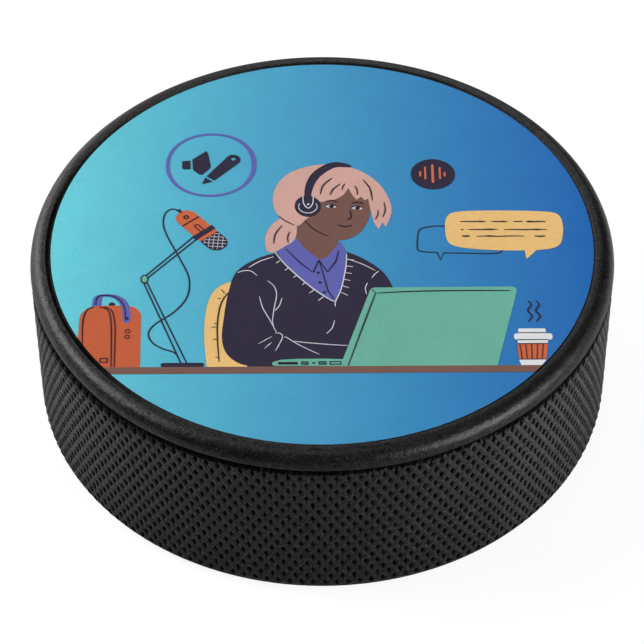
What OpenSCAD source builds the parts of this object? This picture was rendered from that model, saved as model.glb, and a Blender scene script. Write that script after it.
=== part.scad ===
// Ice hockey puck of regulation size: one rubber moulding with rounded shoulders, a plain
// side band, a groove under the upper shoulder and a shallow seat in its top face, which
// holds a colour picture built up from thin ink films.
// Frame: +Z up along the puck's axis, origin at the centre of the flat underside,
// +X to the right and +Y to the top of the picture. Millimetres and degrees.

/* [Puck] */
// Diameter over the side band
puck_d = 76.2; // [60:0.1:90]
// Height between the flat faces
puck_h = 25.4; // [18:0.1:32]
// Radius of the rounded shoulders
shoulder_r = 2.1; // [1:0.1:3]
// Height of the groove between the upper shoulder and the side band
groove_w = 0.3; // [0.2:0.05:0.8]
// Depth of that groove
groove_d = 0.55; // [0.2:0.05:0.8]

/* [Print] */
// Diameter of the printed picture
print_d = 70.7; // [45:0.1:71]
// Depth of the seat that the print lies in
seat_depth = 0.25; // [0.25:0.05:0.6]
// Gap between the print's edge and the seat's wall
seat_gap = 0.25; // [0.1:0.05:0.5]
// Thickness of one ink film
film_t = 0.05; // [0.03:0.01:0.06]

/* [Line work] */
// Width of the steam lines over the cup
steam_w = 0.24; // [0.15:0.01:0.4]
// Width of the light seam and rib lines
light_w = 0.12; // [0.12:0.01:0.3]

/* [Hidden] */
puck_r = puck_d / 2;
print_r = print_d / 2;
seat_r = print_r + seat_gap;
seat_z = puck_h - seat_depth;
background_inset = 0.04;
cut_over = 1; // how far a cut runs past the rubber
rim_fn = 180;

// The picture is drawn at this diameter and scaled to follow print_d
art_d = 70.7;
art_scale = print_d / art_d;

// Film levels, counted up from the seat
undercoat_level = 0;
background_level = 1;
picture_level = 2;
line_level = 3;

// ---- Curves: every outline is a list of [x, y] points ----

// Point on the smooth curve between from and to; t runs from 0 to 1
function spline_at(before, from, to, after, t) =
    0.5 * (2 * from + (to - before) * t + (2 * before - 5 * from + 4 * to - after) * t * t
    + (3 * from - before - 3 * to + after) * t * t * t);

// Smooth closed outline through the points
function loop(points, steps) = let (count = len(points))
    [for (i = [0 : count - 1]) for (j = [0 : steps - 1])
        spline_at(points[(i + count - 1) % count], points[i],
            points[(i + 1) % count], points[(i + 2) % count], j / steps)];

// Smooth open line through the points; with one step it keeps straight spans
function line(points, steps) = let (last = len(points) - 1) concat(
    [for (i = [0 : last - 1]) for (j = [0 : steps - 1])
        spline_at(points[max(i - 1, 0)], points[i],
            points[i + 1], points[min(i + 2, last)], j / steps)],
    [points[last]]);

// Unit vector to the left of a line at its point i
function side(points, i) =
    let (step = points[min(i + 1, len(points) - 1)] - points[max(i - 1, 0)],
        ahead = step / norm(step))
    [-ahead[1], ahead[0]];

// Share of a brush's full width at t: full in the middle, end_share at the ends
function brush(t, end_share) = end_share + (1 - end_share) * sqrt(max(sin(180 * t), 0));

// Outline of a brush stroke
function ribbon(points, width, end_share) =
    let (last = len(points) - 1,
        offsets = [for (i = [0 : last])
            side(points, i) * width / 2 * brush(i / last, end_share)])
    concat([for (i = [0 : last]) points[i] + offsets[i]],
        [for (i = [last : -1 : 0]) points[i] - offsets[i]]);

function arc(centre, radius, start, end, steps) = [for (i = [0 : steps])
    let (angle = start + (end - start) * i / steps) centre + radius * [cos(angle), sin(angle)]];

function twice_area(points) = let (count = len(points))
    [for (i = [0 : count - 1]) cross(points[i], points[(i + 1) % count])]
    * [for (i = [0 : count - 1]) 1];

// ---- Flat shapes ----

// Polygon, turned counterclockwise where needed
module shape(points) polygon(twice_area(points) < 0
    ? [for (i = [len(points) - 1 : -1 : 0]) points[i]] : points);

module drawn(points, width, end_share = 1) shape(ribbon(points, width, end_share));

// Brush strokes from a table: steps per span, width, end share, points
module strokes(table) for (row = table) drawn(line(row[3], row[0]), row[1], row[2]);

module circle_at(centre, radius, sides = 40) translate(centre) circle(r = radius, $fn = sides);

module hoop(centre, outer_r, inner_r) difference() {
    circle_at(centre, outer_r);
    circle_at(centre, inner_r);
}

module round_box(x0, y0, x1, y1, radius, steps) shape(concat(
    arc([x1 - radius, y1 - radius], radius, 0, 90, steps),
    arc([x0 + radius, y1 - radius], radius, 90, 180, steps),
    arc([x0 + radius, y0 + radius], radius, 180, 270, steps),
    arc([x1 - radius, y0 + radius], radius, 270, 360, steps)));

module box_frame(x0, y0, x1, y1, wall, outer_r, inner_r) difference() {
    round_box(x0, y0, x1, y1, outer_r, 2);
    round_box(x0 + wall, y0 + wall, x1 - wall, y1 - wall, inner_r, 2);
}

// Bar with round ends
module bar(from, to, radius, steps) {
    angle = atan2(to[1] - from[1], to[0] - from[0]);
    shape(concat(arc(to, radius, angle - 90, angle + 90, steps),
        arc(from, radius, angle + 90, angle + 270, steps)));
}

// One ink film made from a flat shape
module film(level) translate([0, 0, seat_z + level * film_t])
    linear_extrude(height = film_t) scale([art_scale, art_scale, art_scale]) children();

module inside_print() intersection() {
    circle(r = print_r / art_scale, $fn = rim_fn);
    children();
}

// ---- Desk and bag ----

desk_top = -22.3;
desk_low = -23.45;
desk_reach = 36; // past the print's edge on both sides

module desk_2d() inside_print() translate([-desk_reach, desk_low])
    square([2 * desk_reach, desk_top - desk_low]);

module bag_2d() inside_print() shape(concat(
    [[-22.85, desk_top], [-23.05, -13.75]],
    arc([-24.95, -13.45], 1.9, 0, 90, 4),
    arc([-28.4, -13.9], 2.45, 90, 180, 5),
    [[-30.85, -16], [-31, desk_top]]));

module bag_strap_2d() shape(concat(
    line([[-29.35, -11.55], [-29.3, -10.3], [-28.8, -9.6], [-27.6, -9.4], [-26.3, -9.6],
        [-25.2, -10.4], [-24.6, -11.7], [-24.35, -13.7], [-24.6, -14.5], [-25.15, -14.55],
        [-25.35, -13.9]], 3),
    line([[-25.45, -12.6], [-25.85, -11.1], [-26.6, -10.2], [-27.5, -9.85], [-28.15, -9.9]], 3),
    [[-28.2, -11.55]]));

// Small disc that shows above the bag's top edge
module bag_disc_2d() difference() {
    circle_at([-26.85, -11.3], 0.4);
    bag_2d();
    bag_strap_2d();
}

module bag_lines_2d() {
    strokes([
        [4, 0.18, 0.6, [[-30.25, -18.3], [-30.38, -15.3], [-30.3, -13.4], [-29.9, -12.2],
            [-29.1, -11.7]]],
        [4, 0.17, 0.8, [[-28.4, -11.72], [-27.4, -12.2], [-26.95, -13.4], [-26.68, -16.2],
            [-26.45, desk_top + 0.1]]],
        [4, 0.16, 0.8, [[-27.8, -11.7], [-26.85, -12.35], [-26.45, -13.8], [-26.2, -16.2],
            [-26.05, desk_top + 0.1]]],
        [4, 0.15, 0.6, [[-28.9, -11.4], [-28.85, -10.3], [-28.3, -9.7], [-26.7, -9.85],
            [-25.6, -10.9], [-25.1, -12.5], [-25.0, -14.2]]]]);
    for (y = [-16.05, -17.05]) hoop([-24.65, y], 0.35, 0.25);
    box_frame(-27.95, -21.5, -26.9, -20.7, 0.13, 0.12, 0.08);
    circle_at([-24.8, -13.8], 0.2);
}

// ---- Microphone on its jointed arm ----

mic_tail = [-17.75, 4.6]; // centre of the body's round end
mic_tip = [-13.75, -0.05]; // centre of the head's round end
mic_angle = atan2(mic_tip[1] - mic_tail[1], mic_tip[0] - mic_tail[0]);
mic_r = 1.45;
mic_split = 4.6; // where the body meets the head, measured from mic_tail
mesh_r = 1.3;
mesh_pitch = 0.85;
mesh_w = 0.065;
elbow = [-22.87, -6.73];
arm_line_w = 0.19;

// Point at a distance along the microphone from mic_tail and across to its left
function mic_at(along, across) = mic_tail + along * [cos(mic_angle), sin(mic_angle)]
    + across * [-sin(mic_angle), cos(mic_angle)];

// Microphone's head, or a smaller shape inside it
module mic_nose_2d(start, radius) shape(concat([mic_at(start, -radius)],
    arc(mic_tip, radius, mic_angle - 90, mic_angle + 90, 8), [mic_at(start, radius)]));

module mic_head_2d() mic_nose_2d(mic_split, mic_r);

module mic_body_2d() shape(concat(
    arc(mic_tail, mic_r, mic_angle + 90, mic_angle + 270, 8),
    [mic_at(mic_split, -mic_r), mic_at(mic_split, mic_r)]));

module mic_collar_2d()
    shape([mic_at(3.2, -1.75), mic_at(4.1, -1.7), mic_at(4.0, 1.6), mic_at(3.15, 1.65)]);

module knuckle_outline_2d() translate(elbow) scale([0.54, 0.86]) circle(r = 1, $fn = 9);
module knuckle_2d() translate(elbow) scale([0.36, 0.62]) circle(r = 1, $fn = 9);

module arm_lines_2d() {
    for (ends = [
        [mic_at(3.35, -1.7), elbow + [0.2, 0.7]],
        [mic_at(3.95, -1.65), elbow + [0.3, 0.1]],
        [elbow + [-0.1, -0.6], [-17.75, -21.6]],
        [elbow + [0.3, -0.5], [-17.03, -21.6]]])
        drawn(ends, arm_line_w);
    difference() {
        knuckle_outline_2d();
        knuckle_2d();
    }
}

module cable_2d() difference() {
    drawn(line([mic_at(-1.2, 0.1), [-19.6, 6.35], [-20.6, 5.5], [-20.8, 3.5], [-20.2, 1.2],
        [-18.4, -3.1], [-17.15, -6.6], [-17.3, -10.0], [-18.9, -12.7], [-21.2, -14.8],
        [-22.0, -16.4], [-21.5, -17.95], [-20.2, -19.05], [-18.6, -19.8], [-18.0, -20.9]], 4),
        0.21);
    arm_lines_2d();
}

module cable_plug_2d() difference() {
    drawn([mic_at(-0.9, 0.05), mic_at(-2.0, 0.15)], 0.5, 0.9);
    mic_body_2d();
}

module mic_foot_2d() round_box(-20.25, desk_top, -14.85, desk_top + 0.72, 0.3, 4);

module mic_lines_2d() {
    drawn([mic_at(0.85, -1.38), mic_at(0.85, 1.38)], 0.16);
    difference() {
        bar(mic_at(2.05, 0), mic_at(3.1, 0), 0.34, 4);
        bar(mic_at(2.05, 0), mic_at(3.1, 0), 0.19, 4);
        mic_collar_2d();
    }
    hoop(mic_at(-0.15, 0), 0.37, 0.19);
}

module mic_mesh_2d() intersection() {
    mic_nose_2d(4.75, mesh_r);
    for (i = [-3 : 2]) let (middle = 6.4 + i * mesh_pitch) {
        drawn([mic_at(middle - 2, -2), mic_at(middle + 2, 2)], mesh_w);
        drawn([mic_at(middle - 2, 2), mic_at(middle + 2, -2)], mesh_w);
    }
}

// ---- Seated figure ----

head_centre = [2.0, 6.6];
head_tilt = -6;
eye_places = [-0.75, 2.7]; // x in the head's own frame
ear_pad_centre = [-1.85, 6.7];

module at_head() translate(head_centre) rotate(head_tilt) children();

module sweater_2d() shape(concat(
    line([[-9.0, desk_top], [-10.7, -21.6], [-12.1, -20.0], [-12.7, -17.6], [-12.6, -14.4],
        [-12.1, -9.6], [-11.1, -5.6], [-8.6, -3.2], [-5.4, -1.9], [-1.2, -1.1], [2.6, -1.7],
        [5.6, -3.4], [7.9, -5.8], [9.1, -8.7], [9.8, -12]], 4),
    [[9.8, desk_top]]));

module shirt_2d() shape([
    [-5.9, -1.75], [-4.2, 0.25], [-2.6, 0.9], [1.6, 0.5], [2.5, -0.2], [3.15, -1.9],
    [3.02, -4.6], [2.75, -6.6], [2.3, -8.9], [1.65, -10.9], [0.6, -10.2], [-1.1, -8.6],
    [-3.1, -6.3], [-4.95, -3.9]]);

module neck_2d() shape([
    [2.0, 2.2], [2.1, -0.4], [0.6, -2.9], [-0.3, -3.4], [-2.2, -1.4], [-3.5, 1.0],
    [-2.6, 6.0]]);

module face_2d() at_head() shape(loop([
    [-4.4, 2.4], [-4.5, -0.9], [-3.2, -3.9], [-0.7, -5.9], [1.5, -6.15], [3.4, -4.6],
    [4.35, -1.8], [4.3, 1.6], [2.6, 4.4], [-1.6, 4.8]], 5));

// Hair over the top of the head, with a parted lower edge
module fringe_2d() shape(concat(
    line([[-5.6, 4.6], [-6.4, 6.8], [-6.3, 9.8], [-4.8, 12.7], [-2.0, 14.4], [1.6, 14.8],
        [5.0, 13.6], [7.4, 11.3], [8.7, 8.6], [9.2, 6.2], [8.9, 4.3], [8.35, 2.7]], 4),
    [[7.95, 3.6]],
    line([[7.4, 2.3], [6.9, 3.4], [6.45, 5.6], [6.15, 8.1]], 3),
    line([[5.65, 7.8], [5.2, 8.5]], 2),
    line([[4.6, 7.9], [4.0, 8.9], [3.55, 10.2]], 3),
    line([[2.9, 8.9], [1.8, 8.0], [0.4, 7.6], [-0.6, 7.5]], 3),
    line([[-0.9, 5.4], [-2.0, 4.3], [-3.1, 3.0], [-4.1, 3.3]], 3)));

// Hair that hangs at the left of the neck
module tail_2d() shape(loop([
    [-4.9, 4.6], [-6.6, 3.2], [-7.4, 1.0], [-7.3, -1.3], [-6.5, -2.0], [-4.9, -0.9],
    [-3.6, 0.4], [-3.4, 3.1]], 4));

module headband_2d() drawn(line([
    [-1.8, 6.0], [-1.8, 9.6], [-1.0, 12.3], [0.45, 14.0], [2.0, 14.75], [4.0, 14.4]], 5),
    1.28, 0.12);

module ear_pad_2d() translate(ear_pad_centre) rotate(8)
    shape(loop([for (angle = [0 : 30 : 330]) [1.75 * cos(angle), 2.05 * sin(angle)]], 3));

module chair_2d() shape(concat([[-9.5, desk_top]],
    line([[-14.5, desk_top], [-14.95, -17], [-14.8, -12.2], [-13.9, -9.0], [-12.0, -7.4],
        [-9.5, -7.6]], 4)));

module hair_lines_2d() strokes([
    [4, 0.20, 0.2, [[1.4, 12.1], [0.2, 10.7], [-0.2, 8.9]]],
    [4, 0.19, 0.2, [[2.5, 11.0], [1.5, 9.9], [1.1, 8.8]]],
    [3, 0.16, 0.2, [[3.1, 11.0], [2.8, 10.4], [2.7, 9.7]]],
    [3, 0.17, 0.2, [[4.4, 10.6], [4.7, 9.7], [4.7, 8.8]]],
    [4, 0.20, 0.2, [[5.5, 11.8], [6.4, 10.0], [6.7, 7.6]]],
    [4, 0.17, 0.2, [[8.2, 7.4], [8.35, 5.9], [8.0, 4.5]]],
    [4, 0.16, 0.2, [[7.4, 5.9], [7.35, 4.9], [7.0, 4.1]]],
    [4, 0.16, 0.3, [[-5.7, 4.9], [-4.8, 3.9], [-3.6, 3.1]]],
    [4, 0.19, 0.2, [[-5.2, 3.1], [-6.1, 1.4], [-6.3, -0.4]]],
    [4, 0.17, 0.2, [[-4.2, 1.9], [-4.5, 0.8], [-4.4, -0.2]]]]);

// Lid, pupil and brow of each eye, then nose, mouth and jaw
module features_2d() at_head() {
    for (x = eye_places) {
        strokes([
            [4, 0.2, 0.5, [[x - 0.8, -0.05], [x - 0.1, 0.36], [x + 0.72, 0.0]]],
            [4, 0.2, 0.4, [[x - 0.8, 0.82], [x, 1.08], [x + 0.75, 0.86]]]]);
        circle_at([x + 0.02, -0.08], 0.34, 20);
    }
    strokes([
        [4, 0.18, 0.5, [[1.75, -0.5], [2.05, -1.9], [1.55, -2.3]]],
        [4, 0.2, 0.4, [[0.4, -3.45], [1.35, -3.7], [2.3, -3.4]]],
        [4, 0.16, 0.2, [[-4.0, -3.0], [-2.6, -4.6], [-0.6, -5.75]]]]);
}

// Whites of the eyes lie level with the dark features and are cut round them
module eye_whites_2d() difference() {
    at_head() for (x = eye_places)
        shape(loop([[x - 0.72, -0.1], [x - 0.1, 0.26], [x + 0.65, -0.05], [x, -0.42]], 4));
    features_2d();
}

module collar_lines_2d() {
    strokes([
        [1, 0.18, 0.5, [[-4.75, -1.3], [-2.8, -4.0], [-1.2, -5.7]]],
        [1, 0.18, 0.8, [[-1.15, -5.7], [-0.45, -3.5]]],
        [1, 0.18, 0.8, [[-0.4, -3.5], [0.65, -5.6]]],
        [1, 0.18, 0.5, [[0.72, -5.6], [1.8, -3.6], [2.15, -1.7]]],
        [1, 0.15, 0.7, [[-0.35, -3.8], [0.2, -6.4], [0.72, -9.1], [1.5, -10.6]]]]);
    for (button = [[-0.5, -5.75], [-0.3, -7.55], [0.25, -9.3]]) circle_at(button, 0.19, 16);
}

module chair_lines_2d() difference() {
    union() {
        strokes([
            [5, 0.19, 0.5, [[-11.6, -8.8], [-12.5, -10.1], [-13.06, -11.9], [-13.32, -14.8],
                [-13.25, -17.8], [-12.97, -21.45]]],
            [1, 0.15, 0.6, [[-12.95, -8.7], [-12.5, -9.45]]]]);
        // Level ticks: x, y, length
        for (tick = [[-13.4, -10.33, 0.42], [-13.74, -14.78, 0.42], [-14.04, -15.42, 0.74],
            [-13.84, -17.56, 0.6], [-13.46, -20.68, 0.36]])
            drawn([[tick[0], tick[1]], [tick[0] + tick[2], tick[1]]], 0.13, 0.6);
    }
    sweater_2d();
}

module sweater_seams_2d() strokes([
    [4, light_w, 0.4, [[-10.95, -5.7], [-10.1, -5.33], [-9.2, -5.42], [-8.4, -6.25]]],
    [4, light_w, 0.4, [[-9.5, -4.75], [-8.05, -3.6], [-6.3, -2.8]]],
    [4, light_w, 0.4, [[3.2, -3.25], [5.1, -4.2], [6.85, -5.45]]],
    [4, light_w, 0.4, [[7.3, -5.5], [6.75, -6.1], [6.35, -6.8]]],
    [4, light_w, 0.6, [[5.8, -7.7], [5.5, -8.6], [5.65, -9.7]]],
    [5, light_w, 0.5, [[-7.05, -7.2], [-6.2, -8.2], [-5.87, -9.8], [-6.18, -12.3],
        [-6.35, -14.4], [-6.2, -15.3]]],
    [4, light_w, 0.4, [[-5.15, -10.3], [-5.55, -11.8], [-6.1, -12.6]]],
    [5, light_w, 0.5, [[-8.05, -10.05], [-7.6, -12.1], [-6.65, -14.3], [-5.85, -16.4]]],
    // Folds gathered at the crook of the arm
    [4, light_w, 0.5, [[-6.0, -16.5], [-5.3, -16.65], [-5.1, -17.4], [-5.95, -19.65]]],
    [1, light_w - 0.03, 0.4, [[-8.05, -18.35], [-7.2, -17.7], [-6.45, -17.15]]],
    [1, light_w - 0.03, 0.4, [[-7.35, -19.2], [-6.9, -18.65], [-6.45, -18.2]]],
    [4, light_w, 0.5, [[-4.85, -17.3], [-4.5, -17.36], [-3.1, -18.55], [-0.45, -20.3]]],
    [4, light_w, 0.5, [[-3.85, -17.95], [-2.35, -18.2], [0.9, -18.6], [3.1, -18.78]]],
    [4, light_w, 0.4, [[1.5, -14.35], [1.2, -15.7], [0.5, -16.65]]],
    // Edges of the shirt opening
    [4, 0.17, 0.7, [[-6.12, -1.93], [-4.94, -4.0], [-3.13, -6.4], [-1.08, -8.78],
        [0.9, -10.6], [1.62, -11.0]]],
    [4, 0.16, 0.7, [[3.17, -2.3], [3.07, -4.4], [2.8, -6.5], [2.36, -8.9], [1.66, -11.0],
        [1.64, -11.85]]]]);

// Ribbed neckline: short ticks across the left and right edges of the shirt opening
module neck_ticks_2d() {
    for (t = [0.12 : 0.16 : 0.95])
        let (foot = [-6.1, -2.3] + t * [7.0, -8.3], across = [-0.72, -0.7])
        drawn([foot + 0.3 * across, foot + (t > 0.6 ? 1.25 : 0.95) * across], light_w, 0.8);
    for (t = [0.05 : 0.165 : 0.95])
        let (foot = [3.25, -3.0] + t * [-1.1, -7.2], across = [0.95, -0.15 - 0.6 * t * t])
        drawn([foot + 0.1 * across, foot + 0.98 * across], light_w, 0.8);
}

module ear_pad_line_2d() {
    drawn(arc(ear_pad_centre + [0, -0.1], 1.22, 150, 390, 16), 0.12, 0.5);
    strokes([[4, 0.15, 0.7,
        [[-2.5, 8.6], [-2.4, 7.2], [-1.8, 6.3], [-1.2, 7.2], [-1.15, 8.6]]]]);
    circle_at([-1.8, 7.05], 0.16);
}

// ---- Open laptop seen from behind, with its ports ----

port_low = -22.04;
port_top = -21.5;

module lid_2d() shape(concat(
    arc([6.75, -9.2], 0.7, 165, 90, 3),
    arc([24.2, -9.15], 0.7, 90, -12, 4),
    [[21.8, desk_top], [2.15, desk_top]]));

module laptop_base_2d() shape(concat(
    arc([-5.95, desk_top + 0.5], 0.4, 270, 130, 4),
    [[-5.2, desk_top + 1.15], [-3.0, desk_top + 1.3], [0.5, desk_top + 1.3],
        [3.2, desk_top + 1.15], [3.2, desk_top]]));

module laptop_lines_2d() {
    strokes([
        [4, 0.18, 0.4, [[6.85, -9.55], [11.5, -9.25], [18.0, -9.15], [24.1, -9.2]]],
        [1, 0.18, 0.6, [[6.78, -9.6], [5.5, -14.0], [3.15, desk_top + 0.05]]],
        [1, 0.16, 0.6, [[6.35, -8.9], [6.8, -9.5]]],
        [1, 0.12, 0.8, [[-2.5, -21.77], [-2.0, -21.77]]],
        [1, 0.12, 0.8, [[-0.35, -21.77], [0.25, -21.77]]]]);
    round_box(-5.6, -21.98, -3.15, -21.58, 0.1, 2);
    round_box(-1.3, -21.88, -0.98, -21.62, 0.08, 2);
    // Ports in outline: left and right edge
    for (port = [[-2.7, -1.8], [-0.55, 0.45], [0.85, 2.3]])
        box_frame(port[0], port_low, port[1], port_top, 0.11, 0.08, 0.04);
}

// ---- Speech bubbles ----

module yellow_bubble_2d() {
    shape(loop([
        [16.1, 2.0], [16.3, 4.25], [17.3, 5.35], [20.0, 5.65], [25.0, 5.65], [29.7, 5.38],
        [31.15, 4.7], [31.55, 2.9], [31.4, 0.9], [30.9, -0.75], [29.3, -1.6], [25.5, -1.83],
        [21.5, -1.68], [17.9, -1.15], [16.45, -0.2]], 4));
    shape([[26.3, -1.6], [26.45, -3.42], [27.85, -1.76], [27.85, -1.4], [26.3, -1.4]]);
}

module outline_bubble_2d() difference() {
    drawn(concat(
        line([[17.2, 2.72], [14.9, 2.83], [13.35, 2.5], [12.65, 1.9], [12.45, 0.4],
            [12.38, -1.3], [12.85, -1.92], [14.95, -2.1]], 4),
        [[15.32, -3.55], [15.75, -2.2]],
        line([[19.2, -2.3], [22.7, -2.33], [23.5, -1.6]], 3)), 0.17);
    yellow_bubble_2d();
}

// Rows of strokes that stand for writing, without any letters.
// Table columns: left x, right x, y, width
module writing(table, steps, wave, end_share) for (row = table)
    drawn([for (i = [0 : steps])
        [row[0] + (row[1] - row[0]) * i / steps, row[2] + wave * sin(i * 100)]],
        row[3], end_share);

module bubble_lines_2d() {
    writing([
        [18.1, 21.5, 3.6, 0.17], [22.2, 24.35, 3.57, 0.17], [25.1, 26.3, 3.55, 0.17],
        [26.75, 29.3, 3.53, 0.2], [18.15, 18.5, 2.09, 0.15], [19.1, 22.95, 2.08, 0.17],
        [23.8, 29.4, 2.03, 0.17], [18.25, 19.3, 0.85, 0.24], [20.15, 26.35, 0.81, 0.16],
        [27.7, 29.15, 0.76, 0.22]], 6, 0.03, 0.5);
    writing([
        [26.8, 27.7, 3.53, 0.3], [23.3, 24.2, 3.57, 0.24], [20.3, 21.3, 3.6, 0.24],
        [21.0, 22.7, 2.09, 0.26], [27.4, 28.8, 2.02, 0.26], [21.2, 22.6, 0.84, 0.26]],
        4, 0, 0.2);
}

// ---- Coffee cup ----

sleeve_left = [24.55, -21.36]; // lower corners of the sleeve
sleeve_right = [27.93, -21.36];
steam_x = 26.35;
steam_low = -14.75;
steam_pitch = 1.02;
steam_sway = 0.24;

module cup_lid_2d() {
    round_box(24.68, -16.9, 28.15, -15.95, 0.2, 3);
    round_box(24.1, -17.88, 28.95, -16.82, 0.36, 3);
}

module cup_sleeve_2d() shape([[24.46, -18.58], [28.3, -18.58], sleeve_right, sleeve_left]);

module cup_wall_2d() difference() {
    shape([[24.52, -17.8], [28.38, -17.8], sleeve_right, [27.35, desk_top],
        [24.8, desk_top], sleeve_left]);
    cup_sleeve_2d();
}

module steam_2d() for (x = [steam_x, steam_x + steam_pitch])
    drawn([for (i = [0 : 16]) [x - steam_sway * cos(i * 41 + 8), steam_low + i * 0.235]],
        steam_w, 0.5);

module cup_lines_2d() {
    for (i = [0 : 4])
        drawn([[24.78 + i * 0.735, -18.66], [24.93 + i * 0.625, -21.2]], 0.14, 0.7);
    // Level lines: left x, right x, y, width
    for (row = [[24.72, 28.12, -16.7, 0.13], [24.54, 28.35, -17.92, 0.13],
        [24.48, 28.28, -18.6, 0.14], [24.57, 27.9, -21.3, 0.12]])
        drawn([[row[0], row[2]], [row[1], row[2]]], row[3], 0.7);
}

// ---- Round icons ----

ring_centre = [-14.8, 14.9];

// Brush-drawn ring: slightly out of round, heavier on its right
function ring_edge(angle) =
    6.2 + 0.03 * cos(angle) - 0.09 * cos(2 * angle) - 0.04 * cos(4 * angle);
function ring_wall(angle) = 0.38 + 0.28 * pow(max(cos(angle - 12), 0), 3)
    + 0.14 * pow(max(-cos(angle - 10), 0), 3);

module ring_2d() translate(ring_centre) difference() {
    shape([for (a = [0 : 5 : 355]) ring_edge(a) * [cos(a), sin(a)]]);
    shape([for (a = [0 : 5 : 355]) (ring_edge(a) - ring_wall(a)) * [cos(a), sin(a)]]);
}

module pencil_2d() {
    difference() {
        shape(concat([[-15.36, 12.62], [-14.28, 11.78]],
            arc([-11.86, 15.85], 1.0, -40, 128, 8)));
        circle_at([-11.83, 15.98], 0.3);
    }
    shape([[-15.9, 11.1], [-15.52, 12.4], [-14.5, 11.6]]);
}

// Pen nib with its collar
module pen_nib_2d() {
    shape([[-17.35, 15.9], [-15.5, 17.6], [-15.25, 17.15], [-14.82, 14.6], [-14.95, 14.15],
        [-15.9, 12.95], [-16.3, 12.98], [-17.18, 13.9]]);
    shape([[-18.68, 15.6], [-17.6, 15.75], [-17.52, 14.05], [-18.45, 14.0], [-18.65, 14.3]]);
}

module sound_disc_2d() circle_at([14.84, 12.79], 2.95, 60);

// Upright bars of a sound wave: x, y of the lower and upper end, radius
module sound_bars_2d() for (row = [
    [13.15, 12.4, 13.2, 0.13], [13.82, 11.85, 14.1, 0.13], [14.81, 11.2, 14.5, 0.17],
    [15.77, 11.9, 14.0, 0.13], [16.4, 12.4, 13.05, 0.13]])
    bar([row[0], row[1]], [row[0], row[2]], row[3], 3);

// ---- The pieces ----

// Half section of the rubber moulding
module section() difference() {
    union() {
        square([puck_r - shoulder_r, puck_h]);
        translate([0, shoulder_r]) square([puck_r, puck_h - 2 * shoulder_r]);
        for (z = [shoulder_r, puck_h - shoulder_r])
            translate([puck_r - shoulder_r, z]) circle(r = shoulder_r, $fn = 64);
    }
    translate([-cut_over, seat_z]) square([seat_r + cut_over, seat_depth + cut_over]);
    translate([puck_r - groove_d, puck_h - shoulder_r - groove_w])
        square([groove_d + cut_over, groove_w]);
}

module puck_body() color([0.13, 0.13, 0.13]) rotate_extrude($fn = rim_fn) section();

// White base that keeps the colours bright over black rubber
module white_undercoat() color([0.93, 0.93, 0.94]) film(undercoat_level)
    circle(r = print_r / art_scale, $fn = rim_fn);

module background_ink() color([0.28, 0.62, 0.80]) film(background_level)
    circle(r = (print_r - background_inset) / art_scale, $fn = rim_fn);

module desk_ink() color([0.50, 0.34, 0.31]) film(picture_level) desk_2d();

module bag_ink() color([0.80, 0.36, 0.20]) film(picture_level) difference() {
    bag_2d();
    bag_strap_2d();
}

module microphone_ink() color([0.85, 0.40, 0.22]) film(picture_level) difference() {
    mic_body_2d();
    mic_collar_2d();
}

module violet_ink() color([0.39, 0.36, 0.70]) film(picture_level) {
    ring_2d();
    bag_strap_2d();
    difference() {
        shirt_2d();
        neck_2d();
        face_2d();
        tail_2d();
    }
}

module yellow_ink() color([0.92, 0.75, 0.46]) film(picture_level) {
    yellow_bubble_2d();
    difference() {
        chair_2d();
        sweater_2d();
    }
}

module navy_ink() color([0.20, 0.17, 0.26]) film(picture_level) {
    difference() {
        sweater_2d();
        shirt_2d();
        tail_2d();
        lid_2d();
        laptop_base_2d();
        neck_2d();
    }
    headband_2d();
    ear_pad_2d();
    mic_collar_2d();
    mic_head_2d();
    arm_lines_2d();
    cable_2d();
    mic_foot_2d();
    cable_plug_2d();
    bag_disc_2d();
    sound_disc_2d();
    pencil_2d();
    pen_nib_2d();
    steam_2d();
    outline_bubble_2d();
}

module green_ink() color([0.42, 0.70, 0.59]) film(picture_level) {
    lid_2d();
    laptop_base_2d();
    knuckle_2d();
}

module hair_ink() color([0.84, 0.62, 0.58]) film(picture_level) difference() {
    union() {
        fringe_2d();
        tail_2d();
    }
    headband_2d();
    ear_pad_2d();
}

module skin_ink() color([0.43, 0.28, 0.25]) film(picture_level) difference() {
    union() {
        face_2d();
        neck_2d();
    }
    fringe_2d();
    tail_2d();
    ear_pad_2d();
    headband_2d();
}

module cup_white_ink() color([0.92, 0.92, 0.93]) film(picture_level) {
    cup_lid_2d();
    cup_wall_2d();
}

module cup_sleeve_ink() color([0.83, 0.40, 0.24]) film(picture_level) cup_sleeve_2d();

module dark_line_ink() color([0.16, 0.14, 0.20]) film(line_level) {
    bag_lines_2d();
    mic_lines_2d();
    hair_lines_2d();
    features_2d();
    collar_lines_2d();
    chair_lines_2d();
    laptop_lines_2d();
    bubble_lines_2d();
    cup_lines_2d();
}

module light_line_ink() color([0.86, 0.84, 0.88]) film(line_level) {
    sweater_seams_2d();
    neck_ticks_2d();
    ear_pad_line_2d();
    mic_mesh_2d();
    eye_whites_2d();
}

module sound_bar_ink() color([0.88, 0.45, 0.30]) film(line_level) sound_bars_2d();

puck_body();
white_undercoat();
background_ink();
desk_ink();
bag_ink();
microphone_ink();
violet_ink();
yellow_ink();
navy_ink();
green_ink();
hair_ink();
skin_ink();
cup_white_ink();
cup_sleeve_ink();
dark_line_ink();
light_line_ink();
sound_bar_ink();
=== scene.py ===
# A black rubber puck with a knurled grip band and a printed disc set into its top.
# It lies flat on z = 0, centred on the Z axis. The front faces -Y and the right faces +X.
# Lengths are in millimetres until a mesh is made, angles run from +X towards +Y.
import bpy
import math
import numpy as np
from mathutils import Matrix, Vector
from types import SimpleNamespace


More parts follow.
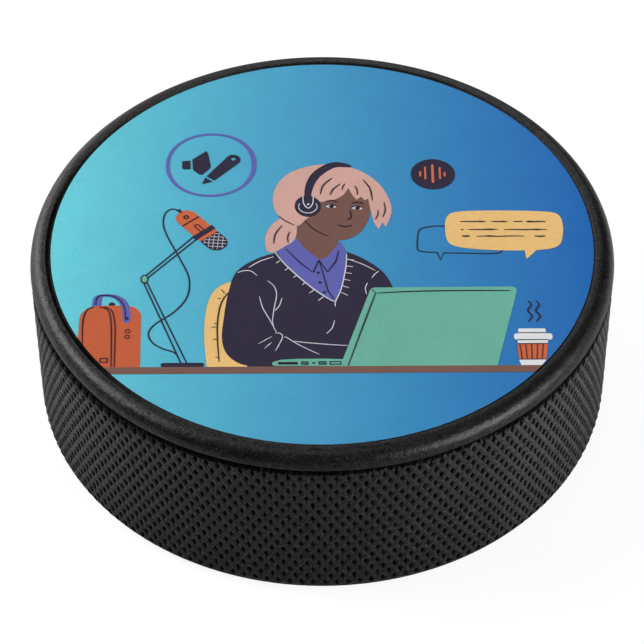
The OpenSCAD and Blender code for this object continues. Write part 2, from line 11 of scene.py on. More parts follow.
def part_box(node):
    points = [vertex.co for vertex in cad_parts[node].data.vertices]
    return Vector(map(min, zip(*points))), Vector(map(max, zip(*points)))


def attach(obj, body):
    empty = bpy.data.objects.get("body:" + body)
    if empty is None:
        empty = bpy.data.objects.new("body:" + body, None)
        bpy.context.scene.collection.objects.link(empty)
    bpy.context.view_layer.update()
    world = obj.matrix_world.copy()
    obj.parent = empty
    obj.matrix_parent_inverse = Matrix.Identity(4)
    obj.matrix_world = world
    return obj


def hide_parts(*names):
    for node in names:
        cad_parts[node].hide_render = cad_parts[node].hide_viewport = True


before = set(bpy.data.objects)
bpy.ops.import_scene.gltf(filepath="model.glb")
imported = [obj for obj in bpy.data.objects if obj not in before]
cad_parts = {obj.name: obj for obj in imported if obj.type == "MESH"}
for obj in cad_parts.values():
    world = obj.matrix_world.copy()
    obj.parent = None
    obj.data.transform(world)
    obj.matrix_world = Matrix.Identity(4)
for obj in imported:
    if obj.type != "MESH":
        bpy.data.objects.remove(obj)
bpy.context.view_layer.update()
MM = 0.001
rng = np.random.default_rng(7)

# ---------------------------------------------------------------- sizes, the overall ones read from model.glb
body_lo, body_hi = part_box("puck_body")
print_lo, print_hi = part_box("white_undercoat")
PUCK_R = (body_hi.x - body_lo.x) / 2 / MM    # over the tops of the ribs
HEIGHT = body_hi.z / MM
PRINT_R = (print_hi.x - print_lo.x) / 2 / MM
SEAT_R = PRINT_R + 0.25                      # recess that holds the print
SEAT_Z = print_lo.z / MM
SHOULDER = 2.1                               # radius of the rounded rims
SHOULDER_R = PUCK_R - SHOULDER               # where a rim meets the flat face
GROOVE_H = 0.30
GROOVE_R = PUCK_R - 0.85
GROOVE_TOP = HEIGHT - SHOULDER
BAND_TOP = GROOVE_TOP - GROOVE_H
BAND_LOW = 0.71                              # the ribs run out on the lower shoulder

# ---------------------------------------------------------------- knurling
STARTS = 161           # crossing ribs round the puck, in each direction
HALF_ROWS = 18         # half rows of pits up the band
RING_STEPS = 322       # steps round the smooth rings
KNURL_START = -120.1   # degrees, the angle of one rib crossing
# one cell across: rib centre, pit edge, pit floor, pit floor, pit edge
CELL = (-0.5, -0.27, -0.14, 0.14, 0.27)
FLOOR_LIMIT, PIT_LIMIT = 0.15, 0.4   # offsets that part pit floor, pit edge and rib
LEAN = 0.05            # shift of the pit floors: one flank steep, the other gentle
PIT_DEPTH, PIT_SPREAD = 0.70, 0.14
EDGE_DROP, RIB_SAG, LOW_ROW_DROP, DEEPEST = 0.12, 0.07, 0.03, 0.95
SKIN_NOISE, SIDE_NOISE = 0.014, 0.022
TEAR_WAVE, TEAR_NOISE = 0.8, 0.45    # how unevenly the ribs are torn beside the groove
LIP_WAVE = 0.012
# wear round the puck: centre and width in degrees
SHALLOW_FRONT, DEEP_RIGHT = (262, 36), (338, 26)
WORN_LEFT, FRAYED_RIGHT = (208, 28), (335, 32)
SHALLOWER, DEEPER = 0.26, 0.24       # share of the pit depth lost and gained there
# rows from the groove downwards: drop, drop where frayed, further drop where worn
TOP_ROWS = (
    (0.34, 0.26, 0.54),
    (0.15, 0.27, 0.64),
    (0.06, 0.25, 0.56),
    (0.02, 0.12, 0.36),
    (0.0, 0.02, 0.14),
)


class Build:
    """Collects points and triangles for one mesh."""
    def __init__(self):
        self.points, self.faces, self.count = [], [], 0

    def add(self, points):
        points = np.asarray(points, float).reshape(-1, 3)
        ids = np.arange(self.count, self.count + len(points))
        self.points.append(points)
        self.count += len(points)
        return ids

    def tris(self, *corners):
        self.faces.append(np.stack(corners, 1).astype(np.int64))

    def mesh(self, name):
        points, faces = np.concatenate(self.points), np.concatenate(self.faces)
        mesh = bpy.data.meshes.new(name)
        mesh.vertices.add(len(points))
        mesh.vertices.foreach_set("co", (points * MM).astype(np.float32).ravel())
        mesh.loops.add(faces.size)
        mesh.loops.foreach_set("vertex_index", faces.ravel().astype(np.int32))
        mesh.polygons.add(len(faces))
        mesh.polygons.foreach_set("loop_start", np.arange(0, faces.size, 3, dtype=np.int32))
        mesh.polygons.foreach_set("loop_total", np.full(len(faces), 3, np.int32))
        mesh.update(calc_edges=True)
        mesh.validate()
        return mesh


def turn(count):
    """Even angles over one turn."""
    return np.arange(count) * 2 * np.pi / count


def ring(build, radius, z, wave=0.0):
    angle = turn(RING_STEPS)
    reach = np.full(RING_STEPS, float(radius)) + wave
    height = np.full(RING_STEPS, float(z))
    return build.add(np.stack([reach * np.cos(angle), reach * np.sin(angle), height], 1))


def join(build, low, high):
    """Join two rings of one count. Faces look outward when high lies above low."""
    low_next, high_next = np.roll(low, -1), np.roll(high, -1)
    build.tris(low, low_next, high_next)
    build.tris(low, high_next, high)


def zip_rings(build, low, low_angle, high, high_angle):
    """Join two rings of different counts, each sorted by angle over one turn."""
    i = j = 0
    low_n, high_n = len(low), len(high)
    faces = []
    while i < low_n or j < high_n:
        next_low = low_angle[(i + 1) % low_n] + (2 * np.pi if i + 1 >= low_n else 0)
        next_high = high_angle[(j + 1) % high_n] + (2 * np.pi if j + 1 >= high_n else 0)
        if j >= high_n or (i < low_n and next_low <= next_high):
            faces.append((low[i % low_n], low[(i + 1) % low_n], high[j % high_n]))
            i += 1
        else:
            faces.append((low[i % low_n], high[(j + 1) % high_n], high[j % high_n]))
            j += 1
    build.tris(*np.array(faces).T)


def closed_wave(count, orders, amplitude):
    """A slow random wave round a ring, from order 2 up to but not including orders."""
    angle = turn(count)
    wave = np.zeros(count)
    for order in range(2, orders):
        wave += rng.normal() * np.cos(order * angle + rng.uniform(0, 2 * np.pi)) / order ** 0.7
    return wave / np.abs(wave).max() * amplitude


def bell(angle, centre, width):
    return np.exp(-((angle - centre) / width) ** 2)


def shoulder_arc(first_degree, count, centre_z, side):
    """Radius and z along a rounded rim, ending at the flat face. side: 1 top, -1 bottom."""
    return [(SHOULDER_R + SHOULDER * math.cos(t), centre_z + side * SHOULDER * math.sin(t))
            for t in np.radians(np.linspace(first_degree, 90, count))]


def knurled_band(build):
    """Ribs crossing over sunken pits. Returns ids and angles of the lowest and top rows."""
    cell, steps = np.array(CELL), len(CELL)
    rows, columns = steps * HALF_ROWS, steps * STARTS
    row, column = np.meshgrid(np.arange(rows + 1), np.arange(columns), indexing="ij")
    # u and v count cells across the two families of ribs
    cell_u, step_u = np.divmod(column + row, steps)
    cell_v, step_v = np.divmod(column, steps)
    off_u, off_v = np.abs(cell[step_u]), np.abs(cell[step_v])
    off = np.maximum(off_u, off_v)
    pit_floor = off < FLOOR_LIMIT
    rib = off > PIT_LIMIT
    u = cell_u + cell[step_u]
    v = cell_v + cell[step_v] - LEAN * pit_floor
    start = math.radians(KNURL_START) % (2 * math.pi / STARTS)
    theta = (u + v) / 2 * 2 * np.pi / STARTS + start
    z = BAND_LOW + (u - v) * (BAND_TOP - BAND_LOW) / HALF_ROWS
    around = np.degrees(theta) % 360

    pit_shape = (STARTS + HALF_ROWS + 2, STARTS + 2)
    pit = PIT_DEPTH * (1 + rng.normal(0, PIT_SPREAD, pit_shape))
    wear = 1 - SHALLOWER * bell(around, *SHALLOW_FRONT) + DEEPER * bell(around, *DEEP_RIGHT)
    height = np.zeros_like(u)
    height[~pit_floor & ~rib] = -EDGE_DROP
    height[rib & (np.minimum(off_u, off_v) < PIT_LIMIT)] = -RIB_SAG   # between crossings
    height[pit_floor] = -(pit[cell_u[pit_floor], cell_v[pit_floor]] * wear[pit_floor])
    height += rng.normal(0, SKIN_NOISE, height.shape)

    # rounded-off rows beside the groove, some ribs torn shorter than others
    torn = 1 + closed_wave(columns, 60, TEAR_WAVE)[None, :]
    torn = torn + rng.normal(0, TEAR_NOISE, height.shape)
    worn, frayed = bell(around, *WORN_LEFT), bell(around, *FRAYED_RIGHT)
    for below, (drop, frayed_drop, worn_drop) in enumerate(TOP_ROWS):
        loss = (drop * (1 - frayed) + frayed_drop * frayed) * torn + worn_drop * worn
        height -= (row == rows - below) * loss
    height -= (row == 0) * LOW_ROW_DROP
    height = np.clip(height, -DEEPEST, 0)

    under = np.clip(SHOULDER - z, 0, None)
    radius = SHOULDER_R + np.sqrt(SHOULDER ** 2 - under ** 2) + height
    theta = theta + rng.normal(0, SIDE_NOISE, height.shape) * ~rib / PUCK_R
    points = np.stack([radius * np.cos(theta), radius * np.sin(theta), z], -1)
    grid = build.add(points).reshape(rows + 1, columns)

    # whole quads, split from their deepest corner
    def corners(values):
        after = np.roll(values, -1, axis=1)
        parts = values[1:-1], values[2:], after[1:-1], after[:-2]
        return [part.ravel() for part in parts]

    here, up, beside, down = corners(grid)
    here_h, up_h, beside_h, down_h = corners(height)
    level = np.minimum(here_h, beside_h) <= np.minimum(up_h, down_h)
    build.tris(here[level], beside[level], up[level])
    build.tris(here[level], down[level], beside[level])
    other = ~level
    build.tris(here[other], down[other], up[other])
    build.tris(down[other], beside[other], up[other])
    # half quads along both edges
    build.tris(grid[0], np.roll(grid[0], -1), grid[1])
    build.tris(grid[-1], np.roll(grid[-2], -1), np.roll(grid[-1], -1))

    def sorted_loop(index):
        angle = theta[index] % (2 * np.pi)
        first = int(np.argmin(angle))
        return np.roll(grid[index], -first), np.roll(angle, -first)

    return sorted_loop(0), sorted_loop(rows)


def groove_lip_and_seat(build, band_loop):
    """From the top of the band through the groove and over the rim to the print's seat."""
    last = ring(build, GROOVE_R, BAND_TOP - 0.02)
    zip_rings(build, *band_loop, last, turn(RING_STEPS))
    # radius, z
    profile = [
        (GROOVE_R, BAND_TOP + 0.04),
        (GROOVE_R, GROOVE_TOP - 0.03),
        (GROOVE_R + 0.04, GROOVE_TOP),
        (PUCK_R - 0.28, GROOVE_TOP),
        (PUCK_R - 0.16, GROOVE_TOP + 0.03),
        (PUCK_R - 0.07, GROOVE_TOP + 0.09),
        (PUCK_R - 0.03, GROOVE_TOP + 0.17),
        *shoulder_arc(9, 13, GROOVE_TOP, side=1),
        (SHOULDER_R - 0.10, HEIGHT),
        (SEAT_R + 0.14, HEIGHT),
        (SEAT_R + 0.06, HEIGHT - 0.012),
        (SEAT_R + 0.015, HEIGHT - 0.05),
        (SEAT_R, HEIGHT - 0.10),
        (SEAT_R, SEAT_Z + 0.03),
        (SEAT_R - 0.03, SEAT_Z),
    ]
    wave = closed_wave(RING_STEPS, 40, LIP_WAVE)
    for radius, z in profile:
        # the seat and the groove floor stay round
        waved = radius >= SEAT_R + 0.2 and radius >= GROOVE_R + 0.1
        above = ring(build, radius, z, np.minimum(wave * waved, PUCK_R - radius))
        join(build, last, above)
        last = above
    centre = build.add([[0, 0, SEAT_Z]])
    build.tris(last, np.roll(last, -1), np.repeat(centre, RING_STEPS))


def underside(build, band_loop):
    """Lower shoulder and flat bottom."""
    flat = [(radius, 0) for radius in (SHOULDER_R - 0.10, 30.0, 20.0, 10.0)]
    first, *rest = shoulder_arc(45, 8, SHOULDER, side=-1) + flat
    last = ring(build, *first)
    zip_rings(build, last, turn(RING_STEPS), *band_loop)
    for radius, z in rest:
        below = ring(build, radius, z)
        join(build, below, last)
        last = below
    centre = build.add([[0, 0, 0]])
    build.tris(np.roll(last, -1), last, np.repeat(centre, RING_STEPS))


def puck_rubber():
    build = Build()
    low_loop, top_loop = knurled_band(build)
    groove_lip_and_seat(build, top_loop)
    underside(build, low_loop)
    mesh = build.mesh("puck_rubber")
    mesh.shade_smooth()
    mesh.set_sharp_from_angle(angle=math.radians(72))
    return bpy.data.objects.new("puck_rubber", mesh)


rubber = puck_rubber()
bpy.context.scene.collection.objects.link(rubber)
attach(rubber, "root")
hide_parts("puck_body")


# ---------------------------------------------------------------- material helpers
class Signal:
    """A node output. Arithmetic on it adds Math nodes to its material."""
    def __init__(self, mat, socket):
        self.mat, self.socket = mat, socket

    def __add__(self, other):
        return self.mat.math("ADD", self, other)

    def __radd__(self, other):
        return self.mat.math("ADD", other, self)

    def __sub__(self, other):
        return self.mat.math("SUBTRACT", self, other)

    def __rsub__(self, other):
        return self.mat.math("SUBTRACT", other, self)

    def __mul__(self, other):
        return self.mat.math("MULTIPLY", self, other)

    def __truediv__(self, other):
        return self.mat.math("DIVIDE", self, other)

    def __abs__(self):
        return self.mat.math("ABSOLUTE", self)

    def sqrt(self):
        return self.mat.math("SQRT", self)

    def max(self, other):
        return self.mat.math("MAXIMUM", self, other)

    def above(self, limit):
        return self.mat.math("GREATER_THAN", self, limit)

    def below(self, limit):
        return self.mat.math("LESS_THAN", self, limit)

    def fade(self, over, to=(0.0, 1.0)):
        """Map the span `over` onto the span `to`, clamped at both ends."""
        node = self.mat.node("ShaderNodeMapRange")
        self.mat.fill(node, dict(enumerate((self, *over, *to))))
        return Signal(self.mat, node.outputs[0])


class Mat:
    """A node material round one Principled shader."""
    def __init__(self, name):
        self.material = bpy.data.materials.new(name)
        self.material.use_nodes = True
        self.tree = self.material.node_tree
        self.tree.nodes.clear()
        self.out = self.node("ShaderNodeOutputMaterial")
        self.bsdf = self.node("ShaderNodeBsdfPrincipled")
        self.tree.links.new(self.bsdf.outputs[0], self.out.inputs[0])
        coords = self.node("ShaderNodeTexCoord")
        scale = self.node("ShaderNodeMapping")
        scale.inputs["Scale"].default_value = (1 / MM,) * 3
        self.tree.links.new(coords.outputs["Object"], scale.inputs[0])
        self.place = Signal(self, scale.outputs[0])   # in millimetres

    def node(self, kind, **settings):
        node = self.tree.nodes.new(kind)
        for key, value in settings.items():
            setattr(node, key, value)
        return node

    def fill(self, node, values):
        """Link or set inputs. A tuple is an RGB colour."""
        for key, value in values.items():
            if isinstance(value, Signal):
                self.tree.links.new(value.socket, node.inputs[key])
            elif isinstance(value, tuple):
                node.inputs[key].default_value = (*value, 1)
            else:
                node.inputs[key].default_value = value

    def shade(self, values):
        self.fill(self.bsdf, values)

    def shifted(self, offset):
        node = self.node("ShaderNodeMapping")
        node.inputs["Location"].default_value = offset
        self.fill(node, {0: self.place})
        return Signal(self, node.outputs[0])

    def noise(self, per_mm, detail, rough, offset=(0, 0, 0)):
        place = self.shifted(offset)
        node = self.node("ShaderNodeTexNoise")
        self.fill(node, {"Scale": per_mm, "Detail": detail, "Roughness": rough, "Vector": place})
        return Signal(self, node.outputs[0])

    def math(self, operation, first, second=0.0):
        node = self.node("ShaderNodeMath", operation=operation)
        self.fill(node, {0: first, 1: second})
        return Signal(self, node.outputs[0])

    def blend(self, share, under, over):
        """Mix two numbers."""
        node = self.node("ShaderNodeMix", data_type="FLOAT")
        self.fill(node, {0: share, 2: under, 3: over})
        return Signal(self, node.outputs[0])

    def mix(self, share, under, over, blend_type="MIX"):
        """Mix two colours."""
        node = self.node("ShaderNodeMix", data_type="RGBA", blend_type=blend_type)
        self.fill(node, {0: share, 6: under, 7: over})
        return Signal(self, node.outputs[2])

    def grey(self, value):
        node = self.node("ShaderNodeCombineColor")
        self.fill(node, {0: value, 1: value, 2: value})
        return Signal(self, node.outputs[0])

    def xyz(self):
        node = self.node("ShaderNodeSeparateXYZ")
        self.fill(node, {0: self.place})
        return [Signal(self, socket) for socket in node.outputs]

    def bumps(self, *layers):
        """Stack bump layers, each (height, distance in mm, strength), onto the normal."""
        for height, distance, strength in layers:
            node = self.node("ShaderNodeBump")
            self.fill(node, {"Strength": strength, "Distance": distance * MM, "Height": height})
            if height is not layers[0][0]:
                self.fill(node, {"Normal": normal})
            normal = Signal(self, node.outputs[0])
        self.shade({"Normal": normal})

    def specks(self, per_mm, radius, share, offset):
        """1 inside small round specks, 0 elsewhere; share of the cells that hold one."""
        place = self.shifted(offset)
        cells = self.node("ShaderNodeTexVoronoi")
        self.fill(cells, {"Scale": per_mm, "Vector": place})
        random = self.node("ShaderNodeSeparateColor")
        self.fill(random, {0: Signal(self, cells.outputs["Color"])})
        mean = radius * per_mm
        size = Signal(self, random.outputs[1]).fade(over=(0, 1), to=(mean * 0.5, mean * 1.3))
        inside = Signal(self, cells.outputs["Distance"]).below(size)
        return inside * Signal(self, random.outputs[0]).below(share)


def length(x, y):
    return (x * x + y * y).sqrt()


# ---------------------------------------------------------------- rubber
RIB_SPEC, RIB_SHEEN = 0.50, 0.24   # mean specular level and sheen weight of the ribs
# linear colours of the rubber
TONES = {
    "base_dark": (0.0056, 0.0056, 0.0058), "base_light": (0.0088, 0.0087, 0.0086),
    "lump": (0.0130, 0.0127, 0.0124), "grain": (0.023, 0.0225, 0.0220),
    "rib_dark": (0.004, 0.004, 0.004), "rib_light": (0.018, 0.0177, 0.0174),
    "rib_glint": (0.065, 0.0640, 0.0625), "rib_crumb_highlight": (0.105, 0.103, 0.100),
    "rib_front_shade": (0.003, 0.003, 0.003), "rib_right_highlight": (0.15, 0.148, 0.145),
    "rib_groove_shade": (0.0025, 0.0025, 0.0025), "pit": (0.0025, 0.0025, 0.0025),
    "pit_front_fill": (0.0062, 0.0062, 0.0062), "ridge_highlight": (0.045, 0.044, 0.043),
    "left_ring_shadow": (0.0012, 0.0012, 0.0012), "dust": (0.17, 0.166, 0.16),
}


def rubber_zones(m, grain):
    """Masks for the parts of the puck."""
    x, y, z = m.xyz()
    radius = length(x, y)

    def facing(azimuth, over):
        """1 on the side of the puck that faces an azimuth, 0 away from it."""
        angle = math.radians(azimuth)
        toward = x * math.cos(angle) + y * math.sin(angle)
        return (toward / radius.max(1.0)).fade(over=over)

    # the front, where shade is painted on the ribs and fill light in the pits
    front = facing(azimuth=256, over=(0.72, 0.95))
    # the left front, where shade is painted under the groove
    left_front_shade = facing(azimuth=206, over=(0.76, 0.93))
    # the right side, where highlights are painted on the ribs and the pits and groove are
    # painted darker as shade
    right_light_and_shade = facing(azimuth=342, over=(0.78, 0.96))
    # how far a point stands above the pits, measured from the smooth skin
    under = (SHOULDER - z).max(0.0)
    skin = SHOULDER_R + (SHOULDER ** 2 - under * under).max(0.0).sqrt()
    uneven = radius - skin + grain.fade(over=(0.3, 0.7), to=(-0.03, 0.03))
    # below this the pits are painted dark as shade in the hollows, from nearer the rim at the
    # right
    proud = (uneven - right_light_and_shade * 0.075).fade(over=(-0.31, -0.11))
    in_band = z.above(BAND_LOW - 0.02) * z.below(GROOVE_TOP - 0.02)
    band = in_band * radius.above(PUCK_R - 2.0)
    # the groove and the torn rows under it, painted black as shade under the lip, wider at the
    # right
    mouth_z = z.above(BAND_TOP - 0.72) * z.below(GROOVE_TOP + 0.01)
    mouth = mouth_z * radius.below(PUCK_R - 0.17 + right_light_and_shade * 0.09)
    # at the left front, where the top rows are worn lower, the band below the groove is painted
    # dark: painted shade under the lip
    groove_shade = left_front_shade * z.fade(over=(BAND_TOP - 2.6, BAND_TOP - 0.8), to=(0.0, 0.95))
    # at the left, the flat ring beside the print, where a shadow and an edge highlight are
    # painted
    ledge = facing(azimuth=193, over=(0.72, 0.92)) * z.above(HEIGHT - 0.2)
    inner = radius.fade(over=(SHOULDER_R - 0.02, SHOULDER_R + 0.10), to=(1.0, 0.0))
    rim = abs(radius - (SHOULDER_R + 0.17)).fade(over=(0.05, 0.11), to=(1.0, 0.0))
    return SimpleNamespace(
        z=z, front=front, right_light_and_shade=right_light_and_shade, band=band, groove_shade=groove_shade,
        rib=band * proud * (1.0 - mouth),
        pit=(band * (1.0 - proud)).max(mouth),
        front_pit_fill=front * (1.0 - groove_shade.max(mouth)),
        foot=z.below(BAND_LOW),
        left_ring_shadow=ledge * inner,
        line=ledge * rim,
        left=facing(azimuth=197, over=(0.72, 0.95)))


def rib_colour(m, zone, grain, glint):
    ribs = m.mix(grain.fade(over=(0.35, 0.65)), TONES["rib_dark"], TONES["rib_light"])
    ribs = m.mix(glint.fade(over=(0.54, 0.68)), ribs, TONES["rib_glint"])
    # painted highlights: torn crumbs of rubber along the top edge of the band catching the light
    crumbs = m.noise(per_mm=4.2, detail=3, rough=0.7, offset=(9, 2, 6))
    top_edge = zone.z.fade(over=(BAND_TOP - 0.75, BAND_TOP - 0.10))
    ribs = m.mix(top_edge * crumbs.fade(over=(0.52, 0.62)), ribs, TONES["rib_crumb_highlight"])
    # painted shade on the ribs in front, painted highlight specks at the right, painted shade
    # under the groove at the left front
    ribs = m.mix(zone.front * 0.30, ribs, TONES["rib_front_shade"])
    right_highlights = zone.right_light_and_shade * grain.fade(over=(0.49, 0.58), to=(0.0, 0.75))
    ribs = m.mix(right_highlights, ribs, TONES["rib_right_highlight"])
    return m.mix(zone.groove_shade, ribs, TONES["rib_groove_shade"])


def rubber_dust(m, zone, lumps):
    """Pale dust, thickest beside the groove, with more just below it at the two sides."""
    near = abs(zone.z - BAND_TOP).fade(over=(0.2, 2.4), to=(1.0, 0.35))
    coarse = m.specks(per_mm=1.1, radius=0.13, share=0.30, offset=(5, 1, 2))
    small = m.specks(per_mm=2.9, radius=0.060, share=0.25, offset=(1, 7, 4))
    dust = (coarse * lumps.fade(over=(0.40, 0.60))).max(small) * near
    level = abs(zone.z - (GROOVE_TOP - 1.2)).fade(over=(0.6, 3.4), to=(0.75, 0.0))
    sides = m.specks(per_mm=3.1, radius=0.062, share=0.42, offset=(2, 2, 8))
    return dust.max(sides * (zone.left.max(zone.right_light_and_shade) * level))


def rubber_gloss(m, zone, blotch, grain, glint):
    rib, groove_shade, front = zone.rib, zone.groove_shade, zone.front
    smooth = (blotch.fade(over=(0.3, 0.7), to=(0.24, 0.32))
              + grain.fade(over=(0.35, 0.65), to=(0.0, 0.07)))
    matt = grain.fade(over=(0.3, 0.7), to=(0.52, 0.66))
    spec = m.blend(rib, grain.fade(over=(0.34, 0.66), to=(0.18, 0.58)),
                   glint.fade(over=(0.36, 0.64), to=(RIB_SPEC * 0.45, RIB_SPEC * 1.6)))
    # the ribs are less glossy in the painted shade under the groove and in front, glossier at
    # the right
    spec = spec * (1.0 - groove_shade.max(front * 0.15) * rib)
    spec = spec * (1.0 + zone.right_light_and_shade * rib * 0.45)
    spec = m.blend(zone.pit, spec, m.blend(zone.front_pit_fill, under=0.05, over=0.12))
    spec = m.blend(zone.left_ring_shadow, spec, over=0.02)
    spec = m.blend(zone.foot, spec, over=0.12)
    sheen = glint.fade(over=(0.36, 0.64), to=(RIB_SHEEN * 0.4, RIB_SHEEN * 1.6))
    sheen = sheen * (1.0 - groove_shade.max(front * 0.35)) * (1.0 + zone.right_light_and_shade * 0.60)
    m.shade({
        "Roughness": m.blend(zone.band.max(zone.foot), smooth, matt),
        "Specular IOR Level": spec,
        "Sheen Weight": rib * sheen,
        "Sheen Roughness": 0.35,
        "Sheen Tint": (1, 1, 1),
    })


def rubber_material():
    m = Mat("black_rubber")
    blotch = m.noise(per_mm=0.35, detail=4, rough=0.6)
    lumps = m.noise(per_mm=1.1, detail=3, rough=0.6, offset=(7, 3, 2))
    grain = m.noise(per_mm=3.6, detail=4, rough=0.65, offset=(11, 3, 5))
    fine = m.noise(per_mm=14.0, detail=2, rough=0.5, offset=(3, 17, 9))
    glint = m.noise(per_mm=5.0, detail=2, rough=0.7, offset=(4, 8, 1))
    zone = rubber_zones(m, grain)
    colour = m.mix(blotch.fade(over=(0.35, 0.65)), TONES["base_dark"], TONES["base_light"])
    colour = m.mix(lumps.fade(over=(0.48, 0.62), to=(0, 0.7)), colour, TONES["lump"])
    colour = m.mix(grain.fade(over=(0.50, 0.70), to=(0, 0.8)), colour, TONES["grain"])
    colour = m.mix(zone.rib, colour, rib_colour(m, zone, grain, glint))
    # pits and groove painted near black as shade in the hollows, a little lighter in front as
    # painted fill light
    colour = m.mix(zone.pit, colour, m.mix(zone.front_pit_fill, TONES["pit"], TONES["pit_front_fill"]))
    # at the left the flat ring is painted black as shadow, with a painted highlight along its
    # outer edge
    line = zone.line * grain.fade(over=(0.40, 0.60), to=(0.1, 0.8))
    colour = m.mix(line, colour, TONES["ridge_highlight"])
    colour = m.mix(zone.left_ring_shadow, colour, TONES["left_ring_shadow"])
    dust = rubber_dust(m, zone, lumps)
    m.shade({"Base Color": m.mix(dust * 0.8, colour, TONES["dust"])})
    rubber_gloss(m, zone, blotch, grain, glint)
    m.bumps((lumps, 0.16, 0.50), (grain, 0.052, 0.70), (fine, 0.012, 0.5), (dust, 0.02, 0.4))
    return m.material


# ---------------------------------------------------------------- printed inks
PRINT_LIGHT, PRINT_GLOSS = 0.807, 0.0098   # studio light on the print, and its faint gloss
INK_DARKEST, INK_LIGHTEST = 0.004, 0.95
RIM_BLACK = (0.012, 0.012, 0.013)
GRADE_HALF = 36.0                          # the graded ink runs from -x to +x
# x, sRGB 0-255
GRADED = (
    (-34.0, (107, 204, 217)), (-27.0, (99, 192, 209)), (-20.0, (90, 180, 204)),
    (-10.7, (82, 167, 199)), (0.4, (74, 151, 193)), (11.5, (62, 136, 186)),
    (22.6, (54, 120, 181)), (31.0, (48, 109, 178)), (35.0, (42, 102, 174)),
)
# sRGB 0-255
INKS = {
    "white_undercoat": (225, 226, 228), "desk_ink": (120, 90, 82), "bag_ink": (192, 96, 64),
    "microphone_ink": (199, 102, 68), "violet_ink": (97, 100, 171),
    "yellow_ink": (228, 187, 122), "navy_ink": (53, 49, 66), "green_ink": (107, 173, 154),
    "hair_ink": (205, 162, 152), "skin_ink": (118, 87, 80), "cup_white_ink": (220, 222, 224),
    "cup_sleeve_ink": (203, 104, 70), "dark_line_ink": (48, 44, 58),
    "light_line_ink": (205, 203, 212), "sound_bar_ink": (205, 108, 80),
}
OTHER_INK = (128, 128, 128)


def linear(level):
    """sRGB 0-255 to linear."""
    level = level / 255
    return level / 12.92 if level <= 0.04045 else ((level + 0.055) / 1.055) ** 2.4


def ink(srgb):
    """Base colour of an ink that shows as srgb under the studio light."""
    return tuple(min(max((linear(level) - PRINT_GLOSS) / PRINT_LIGHT, INK_DARKEST), INK_LIGHTEST)
                 for level in srgb)


def graded_colour(m):
    node = m.node("ShaderNodeValToRGB")
    m.fill(node, {0: m.xyz()[0].fade(over=(-GRADE_HALF, GRADE_HALF))})
    elements = node.color_ramp.elements
    while len(elements) < len(GRADED):
        elements.new(0.5)
    for element, (x, srgb) in zip(elements, GRADED):
        element.position = (x + GRADE_HALF) / (2 * GRADE_HALF)
        element.color = (*ink(srgb), 1)
    return Signal(m, node.outputs[0])


def ink_material(name):
    m = Mat("ink_" + name)
    large = m.noise(per_mm=0.22, detail=3, rough=0.55, offset=(2, 9, 1))
    mottle = m.noise(per_mm=1.6, detail=4, rough=0.65, offset=(8, 2, 6))
    grain = m.noise(per_mm=5.5, detail=3, rough=0.6, offset=(1, 5, 3))
    fine = m.noise(per_mm=16.0, detail=2, rough=0.5, offset=(9, 4, 7))
    graded = name == "background_ink"
    colour = graded_colour(m) if graded else ink(INKS.get(name, OTHER_INK))
    value = large.fade(over=(0.3, 0.7), to=(0.972, 1.028))
    value = value * mottle.fade(over=(0.3, 0.7), to=(0.965, 1.035))
    value = value * grain.fade(over=(0.3, 0.7), to=(0.955, 1.045))
    colour = m.mix(1.0, colour, m.grey(value), blend_type="MULTIPLY")
    # the outer edge of the film is drawn near black
    x, y, _ = m.xyz()
    rim = length(x, y).fade(over=(PRINT_R - 0.05, PRINT_R - 0.015))
    m.shade({
        "Base Color": m.mix(rim, colour, RIM_BLACK),
        "Roughness": mottle.fade(over=(0.3, 0.7), to=(0.45, 0.57)),
        "Specular IOR Level": 0.15,
    })
    m.bumps((mottle, 0.035, 0.35), (grain, 0.012, 0.5), (fine, 0.005, 0.4))
    return m.material


rubber.data.materials.append(rubber_material())
for name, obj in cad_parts.items():
    if name != "puck_body":
        obj.data.materials.clear()
        obj.data.materials.append(ink_material(name))

# ---------------------------------------------------------------- floor
FLOOR_HALF, FLOOR_Z = 6.0, -0.00003   # metres
FLOOR_GLOW = 0.88                     # emission that only the camera sees


def floor_material():
    """Pale to the camera, grey to the puck, and see-through from below."""
    m = Mat("pale_floor")
    cloud = m.noise(per_mm=0.05, detail=3, rough=0.5)
    seen = Signal(m, m.node("ShaderNodeLightPath").outputs["Is Camera Ray"])
    x, y, _ = m.xyz()
    radius = length(x, y)
    # painted contact shadow: the grey that the puck sees is darker close to it, most of all at
    # its left and right
    aside = (abs(x) / radius).fade(over=(0.25, 0.85))
    grey = m.blend(aside, under=radius.fade(over=(PUCK_R, PUCK_R + 12), to=(0.34, 0.43)),
                   over=radius.fade(over=(PUCK_R, PUCK_R + 9), to=(0.12, 0.85)))
    tone = m.blend(seen, grey, cloud.fade(over=(0.3, 0.7), to=(0.21, 0.23)))
    m.shade({
        "Base Color": m.grey(tone),
        "Roughness": 0.8,
        "Emission Color": (1, 1, 1),
        "Emission Strength": seen * FLOOR_GLOW,
        "Specular IOR Level": 0.1,
    })
    sides = m.node("ShaderNodeMixShader")
    m.fill(sides, {
        0: Signal(m, m.node("ShaderNodeNewGeometry").outputs["Backfacing"]),
        1: Signal(m, m.bsdf.outputs[0]),
        2: Signal(m, m.node("ShaderNodeBsdfTransparent").outputs[0]),
    })
    m.fill(m.out, {0: Signal(m, sides.outputs[0])})
    return m.material


floor_mesh = bpy.data.meshes.new("floor")
floor_corners = [(x * FLOOR_HALF, y * FLOOR_HALF, FLOOR_Z)
                 for x, y in ((-1, -1), (1, -1), (1, 1), (-1, 1))]
floor_mesh.from_pydata(floor_corners, [], [(0, 1, 2, 3)])
floor = bpy.data.objects.new("floor", floor_mesh)
floor_mesh.materials.append(floor_material())
bpy.context.scene.collection.objects.link(floor)

# ---------------------------------------------------------------- lights
PANEL_SIZE, PANEL_DISTANCE, PANEL_AIM_Z = 0.34, 1.0, 0.02   # metres
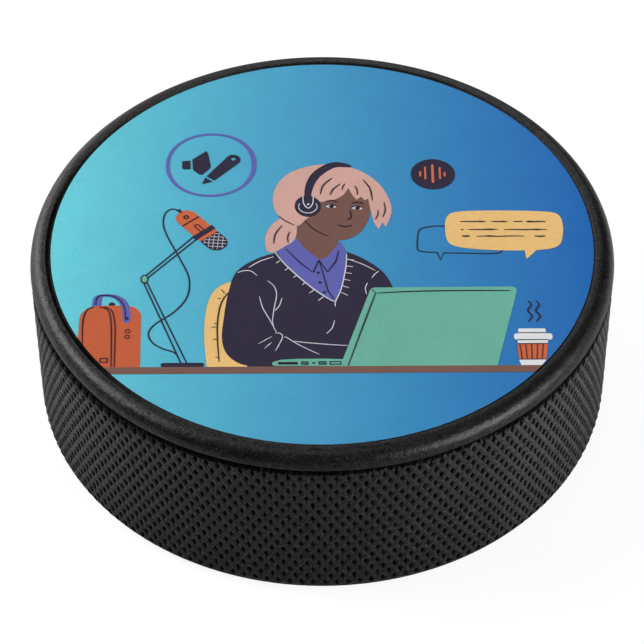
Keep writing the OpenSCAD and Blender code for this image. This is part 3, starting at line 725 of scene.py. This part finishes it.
# azimuth, elevation, brightness: the strongest at the right front and at the left
PANELS = (
    (340, 22, 8.76), (320, 22, 8.35), (180, 40, 6.23), (160, 40, 5.67), (140, 22, 3.78),
    (160, 22, 3.21), (140, 6, 2.07), (120, 6, 1.63), (0, 90, 1.44), (0, 22, 1.39),
    (320, 40, 1.03), (135, 62, 0.99), (120, 22, 0.96), (80, 40, 0.96), (80, 22, 0.86),
    (100, 22, 0.68), (180, 62, 0.55), (280, 6, 0.43), (100, 40, 0.41), (20, 22, 0.38),
)


def panel(azimuth, elevation, brightness):
    """A square softbox that faces the puck."""
    turned, raised = math.radians(azimuth), math.radians(elevation)
    away = Vector((math.cos(turned) * math.cos(raised), math.sin(turned) * math.cos(raised),
                   math.sin(raised)))
    lamp = bpy.data.lights.new("softbox", "AREA")
    lamp.shape = "SQUARE"
    lamp.size = PANEL_SIZE
    lamp.energy = math.pi * PANEL_SIZE * PANEL_SIZE * brightness
    box = bpy.data.objects.new("softbox", lamp)
    box.location = Vector((0, 0, PANEL_AIM_Z)) + away * PANEL_DISTANCE
    box.rotation_mode = "QUATERNION"
    box.rotation_quaternion = away.to_track_quat("Z", "Y")
    bpy.context.scene.collection.objects.link(box)


for station in PANELS:
    panel(*station)

world = bpy.data.worlds.new("studio")
bpy.context.scene.world = world
world.use_nodes = True
background = world.node_tree.nodes["Background"]
background.inputs[0].default_value = (1, 1, 1, 1)
background.inputs[1].default_value = 0.0   # strength: the softboxes give all the light

# ---------------------------------------------------------------- camera
CAMERA_PLACE = (-0.0004315, -0.2641697, 0.2821359)   # metres
CAMERA_RIGHT = Vector((0.99998327, -0.00476745, -0.00327480))
CAMERA_UP = Vector((0.00570130, 0.71717940, 0.69686527))
CAMERA_FORWARD = Vector((0.00097364, 0.69687228, -0.71719459))

lens = bpy.data.cameras.new("camera")
lens.sensor_width = 36.0
lens.lens = 158.032
lens.clip_start = 0.01
lens.clip_end = 50
camera = bpy.data.objects.new("camera", lens)
axes = Matrix((CAMERA_RIGHT, CAMERA_UP, -CAMERA_FORWARD)).transposed()
camera.matrix_world = Matrix.Translation(CAMERA_PLACE) @ axes.to_4x4()
scene = bpy.context.scene
scene.collection.objects.link(camera)
scene.camera = camera
scene.view_settings.view_transform = "Standard"
scene.view_settings.look = "None"
